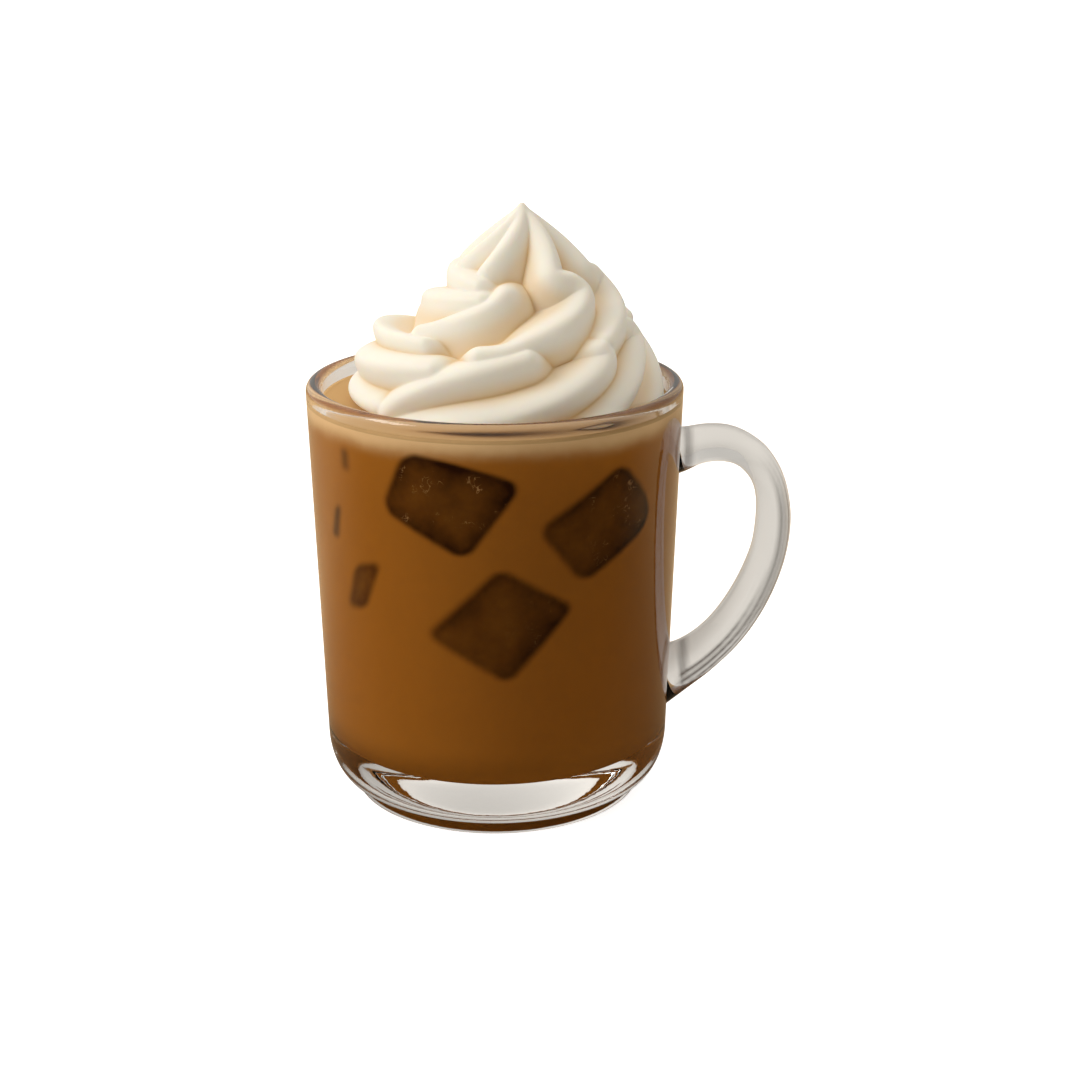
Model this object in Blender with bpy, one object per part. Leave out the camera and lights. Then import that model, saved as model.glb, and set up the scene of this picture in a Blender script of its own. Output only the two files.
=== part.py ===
"""Iced coffee in a clear glass mug, topped with a tall piped swirl of whipped cream.

The mug's axis is the Z axis, its flat foot stands on z = 0 and its handle points along +X.
Azimuths are in degrees, 0 at the front (-Y), growing towards the handle (+X).
"""
import math

import bmesh
import bpy
import numpy as np

MM = 0.001
# Edges that turn by more degrees than this stay sharp
SHARP_ANGLE = 40.0

# Glass mug, in millimetres
RIM_RADIUS = 42.0
MUG_HEIGHT = 95.9
RIM_WALL = 3.5
HEEL_TOP_RADIUS = 39.53
HEEL_TOP_HEIGHT = 13.92
HEEL_FOOT_RADIUS = 33.77
FOOT_HEIGHT = 3.17
FOOT_RADIUS = 33.2
FOOT_EDGE = 0.6
HEEL_STEPS = 6
LIP_STEPS = 6
CORNER_STEPS = 5
INNER_FLOOR_HEIGHT = 12.3
INNER_FLOOR_RADIUS = 28.0
INNER_CORNER_RISE = 9.2
INNER_WALL_FOOT_RADIUS = 36.4
MUG_SEGMENTS = 72

# Handle, in millimetres
HANDLE_HALF_WIDTH = 5.4
HANDLE_JOINT_FLARE = 1.3
HANDLE_FLARE_REACH = 0.06
HANDLE_RINGS = 30
HANDLE_SIDES = 16
# Outer and inner edge of the handle in its own plane, from the upper joint round to the lower one
HANDLE_OUTER = (
    (39.4, 84.2), (43.3, 84.7), (47.6, 85.3), (52.6, 85.0), (57.4, 83.0), (61.9, 79.2), (65.4, 73.0),
    (67.1, 65.0), (66.8, 57.0), (65.0, 49.4), (61.6, 41.2), (56.6, 33.4), (50.4, 26.8), (44.4, 21.8), (38.2, 16.8),
)
HANDLE_INNER = (
    (39.4, 73.4), (42.9, 74.7), (46.6, 76.4), (50.6, 76.9), (54.2, 76.1), (57.0, 73.6), (58.7, 70.0),
    (59.2, 65.0), (58.6, 58.0), (56.9, 52.3), (54.1, 46.2), (50.6, 40.6), (46.8, 36.4), (42.6, 33.5), (38.2, 31.8),
)

# Coffee, in millimetres
COFFEE_LEVEL = 91.5
CLEARANCE = 0.3

# Whipped cream, in millimetres and degrees, with heights counted from its own foot
CREAM_HEIGHT = 42.8
CREAM_FOOT_RADIUS = 35.2
CREAM_FOOT_SHIFT = 2.5
UPPER_SHIFT = 3.6
UPPER_NARROWING = 0.13
UPPER_TURN_HEIGHT = 18.8
TURN_BLEND = 1.0
CREAM_AROUND = 96
CREAM_UP = 44
RIDGE_SLOPE = 1.2
RIDGE_ROUNDING = 2.3
CREASE_SOFTNESS = 0.4
FOOT_TUCK = 1.2
FOOT_TUCK_HEIGHT = 1.6
GREATEST_DEPTH = 0.42
CREST_SAMPLES = 70
LOWEST_CREST = -4.0
RIDGE_POINTS = 12
# Climbing ridges leave the coffee one after another: azimuth and height of one crest point, first and last azimuth,
# and how far the head curls up
CLIMBING_RIDGES = (
    (58.0, 8.1, 30.0, 77.0, 2.6), (100.0, 8.0, 70.0, 120.0, 2.6),
    (140.0, 8.0, 112.0, 160.0, 2.6), (180.0, 8.0, 152.0, 200.0, 2.6),
)
CLIMB_RISE = 0.4
CLIMB_FROM = 0.0
CLIMB_BLEND = 18.0
# Flat ridges lie over each other at the side away from the handle and sink behind it: height at that side, rise a
# degree, first and last azimuth, breadth
FLAT_SIDE = -90.0
FLAT_RIDGES = (
    (3.2, -0.02, -135.0, -54.0, 1.0), (9.8, 0.05, -150.0, -30.0, 1.15), (17.2, 0.01, -150.0, -40.0, 0.85),
    (23.8, 0.03, -150.0, -28.0, 1.0), (30.2, -0.035, -150.0, -34.0, 1.0),
)
SINK_RISE = 0.35
SINK_FROM = -130.0
SINK_BLEND = 15.0
# Two broad folds in front rise out of the coffee between the flat and the climbing ridges
FOLDS = (
    ((-48.0, 2.0), (-38.0, 6.4), (-26.0, 10.0), (-12.0, 12.8), (1.0, 14.7), (9.0, 15.8)),
    ((-46.0, -1.2), (-22.0, 1.2), (-2.0, 3.0), (10.0, 4.9), (22.0, 7.2), (37.0, 10.8), (46.0, 13.9), (45.5, 16.0)),
)
FOLD_BREADTH = 1.1
# A curling ridge of the upper turn climbs to the right, curls back and runs up to the peak
CURLING_RIDGE = (
    (-11.0, 16.7), (0.0, 17.3), (10.0, 19.2), (30.0, 22.0), (44.0, 24.8), (50.0, 26.9), (45.0, 28.9),
    (32.0, 29.9), (29.0, 31.2), (36.0, 34.5), (47.0, 38.2), (60.0, 41.5), (72.0, 42.8),
)
# Turn of each curling ridge, with the least and greatest height that it shows
CURLING_TURNS = (
    (-62.0, 18.5, 27.5), (-62.0, 31.0, 43.0), (-98.0, 31.0, 43.0), (-142.0, 31.0, 43.0),
    (0.0, 16.5, 43.0), (50.0, 17.0, 43.0), (108.0, 17.0, 43.0), (168.0, 17.0, 43.0),
)


def clear_scene():
    """Remove whatever objects the scene holds."""
    for item in list(bpy.data.objects):
        bpy.data.objects.remove(item, do_unlink=True)


def make_material(name, colour, roughness, transmission=0.0, subsurface=0.0):
    """Give a Principled material with the piece's own colour and roughness."""
    material = bpy.data.materials.new(name)
    material.use_nodes = True
    shader = material.node_tree.nodes["Principled BSDF"]
    shader.inputs["Base Color"].default_value = (*colour, 1.0)
    shader.inputs["Roughness"].default_value = roughness
    shader.inputs["Metallic"].default_value = 0.0
    shader.inputs["Transmission Weight"].default_value = transmission
    shader.inputs["Subsurface Weight"].default_value = subsurface
    return material


def add_object(name, mesh_data, material):
    """Put a mesh into the scene under the name of its piece, shaded smooth."""
    mesh_data.materials.append(material)
    mesh_data.shade_smooth()
    mesh_data.set_sharp_from_angle(angle=math.radians(SHARP_ANGLE))
    piece = bpy.data.objects.new(name, mesh_data)
    bpy.context.collection.objects.link(piece)
    return piece


def turned_mesh(name, profile, segments):
    """Turn a profile of (radius, height) in millimetres round the Z axis.

    The profile runs from the axis at the bottom, up the outside and back to the axis.
    """
    mesh = bmesh.new()
    rings = []
    for radius, height in profile:
        if radius < 1e-6:
            rings.append([mesh.verts.new((0.0, 0.0, height * MM))])
            continue
        ring = []
        for step in range(segments):
            turn = 2.0 * math.pi * step / segments
            ring.append(mesh.verts.new((radius * math.cos(turn) * MM, radius * math.sin(turn) * MM, height * MM)))
        rings.append(ring)
    for lower, upper in zip(rings, rings[1:]):
        for step in range(segments):
            after = (step + 1) % segments
            if len(lower) == 1:
                mesh.faces.new((lower[0], upper[after], upper[step]))
            elif len(upper) == 1:
                mesh.faces.new((lower[step], lower[after], upper[0]))
            else:
                mesh.faces.new((lower[step], lower[after], upper[after], upper[step]))
    data = bpy.data.meshes.new(name)
    mesh.to_mesh(data)
    mesh.free()
    return data


def inner_radius(height):
    """Radius of the mug's straight inner wall at a height."""
    foot = INNER_FLOOR_HEIGHT + INNER_CORNER_RISE
    share = (height - foot) / (MUG_HEIGHT - RIM_WALL / 2.0 - foot)
    return INNER_WALL_FOOT_RADIUS + share * (RIM_RADIUS - RIM_WALL - INNER_WALL_FOOT_RADIUS)


def inner_corner(inset):
    """Points of the rounded corner between the inner floor and the inner wall, moved inwards by inset."""
    width = INNER_WALL_FOOT_RADIUS - INNER_FLOOR_RADIUS
    points = []
    for step in range(CORNER_STEPS + 1):
        turn = 0.5 * math.pi * step / CORNER_STEPS
        radius = INNER_FLOOR_RADIUS + (width - inset) * math.sin(turn)
        height = INNER_FLOOR_HEIGHT + INNER_CORNER_RISE - (INNER_CORNER_RISE - inset) * math.cos(turn)
        points.append((radius, height))
    return points


def mug_profile():
    """Profile of the mug: foot, rounded heel, tapered wall, round lip, inner wall and inner floor."""
    profile = [(0.0, 0.0), (FOOT_RADIUS - FOOT_EDGE, 0.0), (FOOT_RADIUS, FOOT_EDGE), (HEEL_FOOT_RADIUS, FOOT_HEIGHT)]
    for step in range(1, HEEL_STEPS + 1):
        turn = 0.5 * math.pi * step / HEEL_STEPS
        radius = HEEL_FOOT_RADIUS + (HEEL_TOP_RADIUS - HEEL_FOOT_RADIUS) * math.sin(turn)
        height = HEEL_TOP_HEIGHT - (HEEL_TOP_HEIGHT - FOOT_HEIGHT) * math.cos(turn)
        profile.append((radius, height))
    lip_radius = RIM_WALL / 2.0
    for step in range(LIP_STEPS + 1):
        turn = math.pi * step / LIP_STEPS
        radius = RIM_RADIUS - lip_radius + lip_radius * math.cos(turn)
        profile.append((radius, MUG_HEIGHT - lip_radius + lip_radius * math.sin(turn)))
    profile.extend(reversed(inner_corner(0.0)))
    profile.append((0.0, INNER_FLOOR_HEIGHT))
    return profile


def smooth_path(points, samples):
    """Read evenly spaced points from a smooth curve that passes through all the given points."""
    given = np.asarray(points, dtype=float)
    ends = np.vstack([2.0 * given[0] - given[1], given, 2.0 * given[-1] - given[-2]])
    place = np.linspace(0.0, len(given) - 1.0 - 1e-9, samples)
    index = place.astype(int)
    share = (place - index)[:, None]
    before, start, end, after = ends[index], ends[index + 1], ends[index + 2], ends[index + 3]
    return 0.5 * (
        2.0 * start
        + (end - before) * share
        + (2.0 * before - 5.0 * start + 4.0 * end - after) * share**2
        + (3.0 * start - 3.0 * end + after - before) * share**3
    )


def handle_mesh(name):
    """Loft the handle: an upright oval from its inner to its outer edge at every station."""
    outer = smooth_path(HANDLE_OUTER, HANDLE_RINGS)
    inner = smooth_path(HANDLE_INNER, HANDLE_RINGS)
    mesh = bmesh.new()
    rings = []
    for station in range(HANDLE_RINGS):
        share = station / (HANDLE_RINGS - 1)
        flare = math.exp(-share / HANDLE_FLARE_REACH) + math.exp(-(1.0 - share) / HANDLE_FLARE_REACH)
        half_width = HANDLE_HALF_WIDTH + HANDLE_JOINT_FLARE * flare
        middle = (outer[station] + inner[station]) / 2.0
        reach = (outer[station] - inner[station]) / 2.0
        ring = []
        for side in range(HANDLE_SIDES):
            turn = 2.0 * math.pi * side / HANDLE_SIDES
            along = middle + reach * math.cos(turn)
            ring.append(mesh.verts.new((along[0] * MM, half_width * math.sin(turn) * MM, along[1] * MM)))
        rings.append(ring)
    for near, far in zip(rings, rings[1:]):
        for side in range(HANDLE_SIDES):
            after = (side + 1) % HANDLE_SIDES
            mesh.faces.new((near[side], near[after], far[after], far[side]))
    mesh.faces.new(rings[0][::-1])
    mesh.faces.new(rings[-1])
    bmesh.ops.recalc_face_normals(mesh, faces=mesh.faces)
    data = bpy.data.meshes.new(name)
    mesh.to_mesh(data)
    mesh.free()
    return data


def make_mug():
    """Build the mug as one piece of glass: the turned body with the handle fused to it."""
    glass = make_material("clear_glass", (0.93, 0.95, 0.94), 0.02, transmission=1.0)
    body = add_object("glass_mug", turned_mesh("mug_body", mug_profile(), MUG_SEGMENTS), glass)
    handle = add_object("handle_blank", handle_mesh("handle_blank"), glass)
    union = body.modifiers.new("fuse_handle", "BOOLEAN")
    union.operation = "UNION"
    union.solver = "EXACT"
    union.object = handle
    fused = bpy.data.meshes.new_from_object(body.evaluated_get(bpy.context.evaluated_depsgraph_get()))
    body.modifiers.remove(union)
    body.data = fused
    bpy.data.objects.remove(handle, do_unlink=True)
    return body


def make_coffee():
    """Build the drink as a turned solid from the inner floor up to its level."""
    brown = make_material("coffee", (0.30, 0.13, 0.035), 0.12)
    profile = [(0.0, INNER_FLOOR_HEIGHT + CLEARANCE)]
    profile.extend(inner_corner(CLEARANCE))
    profile.append((inner_radius(COFFEE_LEVEL) - CLEARANCE, COFFEE_LEVEL))
    profile.append((0.0, COFFEE_LEVEL))
    return add_object("coffee", turned_mesh("coffee", profile, MUG_SEGMENTS), brown)


def upper_share(height):
    """How far a height belongs to the upper turn, from 0 to 1."""
    return 1.0 / (1.0 + np.exp((UPPER_TURN_HEIGHT - height) / TURN_BLEND))


def cream_axis(height):
    """Sideways place of the swirl's axis: it steps towards the handle between the two turns."""
    return CREAM_FOOT_SHIFT + UPPER_SHIFT * upper_share(height)


def cream_reach(height):
    """Radius of the smooth dome that touches the ridges' crests, narrower in the upper turn."""
    dome = 1.0 - np.clip(height / CREAM_HEIGHT, 0.0, 1.0) ** 2
    return CREAM_FOOT_RADIUS * dome * (1.0 - UPPER_NARROWING * upper_share(height))


def dome_points(azimuth, height):
    """Points of the smooth dome, for azimuths in radians and heights in millimetres."""
    radius = cream_reach(height)
    return np.stack([cream_axis(height) + radius * np.sin(azimuth), -radius * np.cos(azimuth), height], axis=-1)


def dome_normals(azimuth, height):
    """Outward unit normals of the smooth dome."""
    step = 0.05
    low = np.clip(height - step, 0.0, CREAM_HEIGHT)
    high = np.clip(height + step, 0.0, CREAM_HEIGHT)
    slope = (cream_reach(high) - cream_reach(low)) / (high - low)
    normal = np.stack([np.sin(azimuth), -np.cos(azimuth), -slope], axis=-1)
    return normal / np.linalg.norm(normal, axis=-1, keepdims=True)


def soft_ramp(value, blend):
    """A ramp that is 0 for low values, rises evenly for high ones and is rounded between."""
    return blend * np.logaddexp(0.0, value / blend)


def ridge_paths():
    """Crest line of every ridge as rows of azimuth and height, with the ridge's breadth."""
    paths = []
    for azimuth, height, start, end, curl in CLIMBING_RIDGES:
        turns = np.linspace(start, end, RIDGE_POINTS)
        climb = soft_ramp(turns - CLIMB_FROM, CLIMB_BLEND) - soft_ramp(azimuth - CLIMB_FROM, CLIMB_BLEND)
        path = np.stack([turns, height + CLIMB_RISE * climb], axis=1)
        head = path[-1] + np.array([[-1.0, curl], [-5.0, 1.3 * curl]])
        paths.append((np.vstack([path, head]), 1.0))
    for height, rise, start, end, breadth in FLAT_RIDGES:
        turns = np.linspace(start, end, RIDGE_POINTS)
        heights = height + rise * (turns - FLAT_SIDE) - SINK_RISE * soft_ramp(SINK_FROM - turns, SINK_BLEND)
        paths.append((np.stack([turns, heights], axis=1), breadth))
    paths.extend((np.array(fold), FOLD_BREADTH) for fold in FOLDS)
    for turn, least, greatest in CURLING_TURNS:
        path = np.array(CURLING_RIDGE) + np.array([turn, 0.0])
        paths.append((path[(path[:, 1] >= least) & (path[:, 1] <= greatest)], 1.0))
    return paths


def distance_to_line(points, line):
    """Shortest distance from each point to a chain of short straight pieces."""
    squared = ((points[:, None, :] - line[None, :, :]) ** 2).sum(axis=2)
    nearest = squared.argmin(axis=1)
    distance = np.full(len(points), np.inf)
    for offset in (-1, 0):
        index = np.clip(nearest + offset, 0, len(line) - 2)
        piece = line[index + 1] - line[index]
        share = ((points - line[index]) * piece).sum(axis=1) / (piece**2).sum(axis=1)
        foot = line[index] + piece * np.clip(share, 0.0, 1.0)[:, None]
        distance = np.minimum(distance, np.linalg.norm(points - foot, axis=1))
    return distance


def ridge_relief(points):
    """Depth of the surface below the dome: round crests that fall away evenly to sharp creases.

    Each ridge falls from its crest as a hyperbola, and where two ridges meet the higher one shows.
    """
    depths = []
    for path, breadth in ridge_paths():
        sampled = smooth_path(path, CREST_SAMPLES)
        crest = dome_points(np.radians(sampled[:, 0]), np.clip(sampled[:, 1], LOWEST_CREST, CREAM_HEIGHT))
        distance = distance_to_line(points, crest) / breadth
        depths.append(RIDGE_SLOPE * (RIDGE_ROUNDING - np.hypot(distance, RIDGE_ROUNDING)))
    depths = np.stack(depths)
    highest = depths.max(axis=0)
    return highest + CREASE_SOFTNESS * np.log(np.exp((depths - highest) / CREASE_SOFTNESS).sum(axis=0))


def cream_points(azimuth, height):
    """Points of the swirl for azimuths in radians and heights in millimetres."""
    points = dome_points(azimuth, height)
    depth = np.maximum(ridge_relief(points), -GREATEST_DEPTH * cream_reach(height))
    points += dome_normals(azimuth, height) * depth[:, None]
    points[:, 2] = np.where(height > 0.0, np.maximum(points[:, 2], 0.0), 0.0)
    tuck = FOOT_TUCK * np.clip(1.0 - height / FOOT_TUCK_HEIGHT, 0.0, 1.0) ** 2
    points[:, 0] -= tuck * np.sin(azimuth)
    points[:, 1] += tuck * np.cos(azimuth)
    return points


def cream_triangles(points, middles, index):
    """Split every quad of the grid along the diagonal that lies nearer to the swirl at the quad's middle."""
    after = np.roll(index, -1, axis=1)
    low, low_after, high_after, high = (
        part.ravel() for part in (index[:-1], after[:-1], after[1:], index[1:])
    )
    rising = np.linalg.norm((points[low] + points[high_after]) / 2.0 - middles, axis=1)
    falling = np.linalg.norm((points[low_after] + points[high]) / 2.0 - middles, axis=1)
    first = np.where((rising <= falling)[:, None], np.stack([low, low_after, high_after], axis=1),
                     np.stack([low, low_after, high], axis=1))
    second = np.where((rising <= falling)[:, None], np.stack([low, high_after, high], axis=1),
                      np.stack([low_after, high_after, high], axis=1))
    return np.vstack([first, second]).tolist()


def make_cream():
    """Build the whipped cream that floats on the coffee: rings from the foot up, closed at peak and foot."""
    white = make_material("whipped_cream", (0.90, 0.84, 0.72), 0.5, subsurface=0.3)
    fine = np.linspace(0.0, CREAM_HEIGHT, 2000)
    length = np.concatenate([[0.0], np.cumsum(np.hypot(np.diff(fine), np.diff(cream_reach(fine))))])
    rows = np.interp(np.linspace(0.0, length[-1], CREAM_UP + 1)[:-1], length, fine)
    turns = 2.0 * np.pi * np.arange(CREAM_AROUND) / CREAM_AROUND
    azimuth, height = np.meshgrid(turns, rows)
    points = cream_points(azimuth.ravel(), height.ravel())
    middle_height = (height[:-1] + height[1:]) / 2.0
    middles = cream_points((azimuth[:-1] + np.pi / CREAM_AROUND).ravel(), middle_height.ravel())
    index = np.arange(CREAM_UP * CREAM_AROUND).reshape(CREAM_UP, CREAM_AROUND)
    faces = cream_triangles(points, middles, index)
    peak = CREAM_UP * CREAM_AROUND
    foot = peak + 1
    for step in range(CREAM_AROUND):
        after = (step + 1) % CREAM_AROUND
        faces.append((int(index[-1, step]), int(index[-1, after]), peak))
        faces.append((int(index[0, after]), int(index[0, step]), foot))
    ends = [[cream_axis(CREAM_HEIGHT), 0.0, CREAM_HEIGHT], [cream_axis(0.0), 0.0, 0.0]]
    points = np.vstack([points, ends]) + [0.0, 0.0, COFFEE_LEVEL + CLEARANCE]
    data = bpy.data.meshes.new("whipped_cream")
    data.from_pydata((points * MM).tolist(), [], faces)
    return add_object("whipped_cream", data, white)


def main():
    """Build the three pieces."""
    clear_scene()
    make_mug()
    make_coffee()
    make_cream()


main()
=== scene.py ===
"""Looks of an iced coffee: a clear glass mug, milky coffee with ice in it, and a piped swirl of cream.

Sizes are millimetres unless a name says otherwise. The mug's axis is Z, its handle points along +X and its
front faces -Y. Azimuths are degrees, 0 at the front, growing towards the handle.
"""
import logging
import math
from dataclasses import dataclass, field
from enum import Enum

import bpy
import numpy as np
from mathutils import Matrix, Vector


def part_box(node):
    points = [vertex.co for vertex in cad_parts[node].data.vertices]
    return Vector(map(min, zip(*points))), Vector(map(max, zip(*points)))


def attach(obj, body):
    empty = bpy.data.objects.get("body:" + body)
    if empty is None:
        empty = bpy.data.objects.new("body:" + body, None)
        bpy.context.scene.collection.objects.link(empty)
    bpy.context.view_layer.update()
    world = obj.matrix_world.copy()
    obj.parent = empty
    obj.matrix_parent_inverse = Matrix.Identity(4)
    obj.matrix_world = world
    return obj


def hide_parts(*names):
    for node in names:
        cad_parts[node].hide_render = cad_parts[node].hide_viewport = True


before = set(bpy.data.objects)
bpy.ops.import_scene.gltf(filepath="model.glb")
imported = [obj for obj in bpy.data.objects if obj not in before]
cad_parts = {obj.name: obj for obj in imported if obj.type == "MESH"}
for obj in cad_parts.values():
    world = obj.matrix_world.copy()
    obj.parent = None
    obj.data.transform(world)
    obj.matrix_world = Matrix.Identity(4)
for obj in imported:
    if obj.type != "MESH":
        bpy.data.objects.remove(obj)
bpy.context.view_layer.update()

MM = 0.001
BODY = "root"
CLOUD_SPAN = (0.3, 0.7)
LOG = logging.getLogger("iced_coffee")


class Node(Enum):
    """The CAD nodes that the pieces here stand for."""

    MUG = "glass_mug"
    COFFEE = "coffee"
    CREAM = "whipped_cream"


class Slot(Enum):
    """The record's material slots."""

    GLASS = "clear_glass"
    COFFEE = "coffee"
    CREAM = "whipped_cream"


def node_corners(node: Node) -> tuple[np.ndarray, np.ndarray]:
    """Give the corners of a CAD node's box.

    Args:
        node: the CAD node.

    Returns:
        Its lowest and its highest corner in millimetres.
    """
    low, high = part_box(node.value)
    return np.array(low) / MM, np.array(high) / MM


def smoothstep(low: float, high: float, value: np.ndarray) -> np.ndarray:
    """Rise smoothly from 0 at low to 1 at high.

    Args:
        low: value at which the rise starts.
        high: value at which it ends.
        value: where to read the curve.

    Returns:
        The curve t*t*(3 - 2t) of the clamped share t.
    """
    share = np.clip((value - low) / (high - low), 0.0, 1.0)
    return share * share * (3.0 - 2.0 * share)


def smooth_path(points: tuple[tuple[float, ...], ...], samples: int) -> np.ndarray:
    """Read evenly spaced points from a Catmull-Rom curve through the given ones.

    Args:
        points: the points that the curve passes through.
        samples: how many points to read.

    Returns:
        The points as rows.
    """
    given = np.asarray(points, dtype=float)
    ends = np.vstack([2.0 * given[0] - given[1], given, 2.0 * given[-1] - given[-2]])
    place = np.linspace(0.0, len(given) - 1.0 - 1e-9, samples)
    index = place.astype(int)
    share = (place - index)[:, None]
    before, start, end, after = ends[index], ends[index + 1], ends[index + 2], ends[index + 3]
    return 0.5 * (
        2.0 * start
        + (end - before) * share
        + (2.0 * before - 5.0 * start + 4.0 * end - after) * share**2
        + (3.0 * start - 3.0 * end + after - before) * share**3
    )


def arc(
    centre: tuple[float, float], radii: tuple[float, float], turns: tuple[float, float], steps: int
) -> np.ndarray:
    """Give points on part of an ellipse: centre + (a cos t, b sin t).

    Args:
        centre: the ellipse's centre as radius and height.
        radii: its two half axes.
        turns: first and last angle in degrees.
        steps: how many pieces the arc has.

    Returns:
        The points as rows of radius and height.
    """
    angle = np.radians(np.linspace(turns[0], turns[1], steps + 1))
    return np.stack([centre[0] + radii[0] * np.cos(angle), centre[1] + radii[1] * np.sin(angle)], axis=1)


@dataclass
class Surface:
    """A mesh in the making: corner points in millimetres, quads and triangles."""

    points: np.ndarray
    quads: np.ndarray
    triangles: np.ndarray = field(default_factory=lambda: np.zeros((0, 3), dtype=int))

    def mesh(self, name: str) -> bpy.types.Mesh:
        """Make the Blender mesh, in metres and shaded smooth.

        Args:
            name: the mesh's name.

        Returns:
            The mesh.
        """
        data = bpy.data.meshes.new(name)
        data.from_pydata((self.points * MM).tolist(), [], self.quads.tolist() + self.triangles.tolist())
        data.shade_smooth()
        return data


def grid_quads(rows: int, columns: int) -> np.ndarray:
    """Give the quads of a grid whose columns run round and meet.

    Args:
        rows: how many rings the grid has.
        columns: how many points each ring has, anticlockwise seen from the last ring.

    Returns:
        The quads as rows of four point numbers, facing out.
    """
    index = np.arange(rows * columns).reshape(rows, columns)
    after = np.roll(index, -1, axis=1)
    return np.stack([index[:-1], after[:-1], after[1:], index[1:]], axis=-1).reshape(-1, 4)


def closed_grid(rings: np.ndarray, first: np.ndarray, last: np.ndarray) -> Surface:
    """Close a stack of rings with a fan to one point at each end.

    Args:
        rings: points as an array of rings, columns and x, y, z.
        first: the point that closes the first ring.
        last: the point that closes the last ring.

    Returns:
        The closed surface.
    """
    rows, columns = rings.shape[:2]
    points = np.vstack([rings.reshape(-1, 3), first, last])
    step = np.arange(columns)
    after = np.roll(step, -1)
    start, end = rows * columns, rows * columns + 1
    top = (rows - 1) * columns
    low = np.stack([after, step, np.full(columns, start)], axis=1)
    high = np.stack([top + step, top + after, np.full(columns, end)], axis=1)
    return Surface(points, grid_quads(rows, columns), np.vstack([low, high]))


def turned(profile: np.ndarray, segments: int) -> Surface:
    """Turn a profile round the Z axis: (r, z) becomes (r cos a, r sin a, z) for every angle a.

    Args:
        profile: rows of radius and height, whose first and last row lie on the axis.
        segments: how many columns go round.

    Returns:
        The closed surface.
    """
    angle = 2.0 * np.pi * np.arange(segments) / segments
    radius, height = profile[1:-1, 0][:, None], profile[1:-1, 1][:, None]
    rings = np.stack([radius * np.cos(angle), radius * np.sin(angle), height + 0.0 * angle], axis=-1)
    return closed_grid(rings, np.array([0.0, 0.0, profile[0, 1]]), np.array([0.0, 0.0, profile[-1, 1]]))


def add_piece(name: str, data: bpy.types.Mesh, material: bpy.types.Material) -> bpy.types.Object:
    """Put a finished mesh into the scene, at the origin, riding on the drink's one body.

    Args:
        name: the piece's name.
        data: its mesh.
        material: its finish.

    Returns:
        The piece.
    """
    data.materials.clear()
    data.materials.append(material)
    piece = bpy.data.objects.new(name, data)
    bpy.context.scene.collection.objects.link(piece)
    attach(piece, BODY)
    LOG.info("%s: %d faces", name, len(data.polygons))
    return piece


def put_values(data: bpy.types.Mesh, name: str, values: np.ndarray) -> None:
    """Store one number for each corner point, for a material to read.

    Args:
        data: the mesh.
        name: the attribute's name.
        values: the numbers.
    """
    layer = data.attributes.new(name, "FLOAT", "POINT")
    layer.data.foreach_set("value", values.astype(np.float32))


class Bench:
    """A material's node tree with short ways to add and join nodes."""

    def __init__(self, tree: bpy.types.NodeTree) -> None:
        """Start on an empty node tree.

        Args:
            tree: the tree, whose nodes are cleared.
        """
        self.tree = tree
        self.tree.nodes.clear()

    def node(self, kind: str, inputs: dict | None = None, **settings: object) -> bpy.types.Node:
        """Add a node.

        Args:
            kind: the node's type.
            inputs: socket name or number to a value, or to a socket to join.
            settings: the node's own properties.

        Returns:
            The node.
        """
        made = self.tree.nodes.new(kind)
        for name, value in settings.items():
            setattr(made, name, value)
        for key, value in (inputs or {}).items():
            if isinstance(value, bpy.types.NodeSocket):
                self.tree.links.new(value, made.inputs[key])
            else:
                made.inputs[key].default_value = value
        return made

    def math(
        self, operation: str, first: object, second: object = 0.0, clamp: bool = False
    ) -> bpy.types.NodeSocket:
        """Add a Math node.

        Args:
            operation: what it does.
            first: its first value or socket.
            second: its second one.
            clamp: whether the result is kept between 0 and 1.

        Returns:
            The socket of the result.
        """
        inputs = {0: first, 1: second}
        return self.node("ShaderNodeMath", inputs, operation=operation, use_clamp=clamp).outputs[0]

    def mix(self, share: object, first: object, second: object) -> bpy.types.NodeSocket:
        """Mix two colours.

        Args:
            share: how much of the second there is.
            first: the colour at a share of 0.
            second: the colour at a share of 1.

        Returns:
            The socket of the mixed colour.
        """
        made = self.node("ShaderNodeMix", {0: share, 6: first, 7: second}, data_type="RGBA")
        return made.outputs[2]

    def ramp(
        self, value: object, low: float, high: float, start: float = 0.0, end: float = 1.0
    ) -> bpy.types.NodeSocket:
        """Map a value smoothly from one span to another.

        Args:
            value: the socket to map.
            low: where the span that is read starts.
            high: where it ends.
            start: the result at its start.
            end: the result at its end.

        Returns:
            The socket of the result.
        """
        inputs = {0: value, 1: low, 2: high, 3: start, 4: end}
        return self.node("ShaderNodeMapRange", inputs, interpolation_type="SMOOTHSTEP").outputs[0]

    def value_of(self, attribute: str) -> bpy.types.NodeSocket:
        """Read a number that is stored on the piece's points.

        Args:
            attribute: its name.

        Returns:
            The socket of the number.
        """
        return self.node("ShaderNodeAttribute", attribute_name=attribute).outputs["Fac"]

    def place(self) -> bpy.types.NodeSocket:
        """Read the place on the piece.

        Returns:
            The socket of the Object coordinates, in metres.
        """
        return self.node("ShaderNodeTexCoord").outputs["Object"]

    def finish(self, shader: bpy.types.NodeSocket) -> None:
        """Join a shader to the material's output.

        Args:
            shader: the shader's socket.
        """
        self.node("ShaderNodeOutputMaterial", {"Surface": shader})


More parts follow.
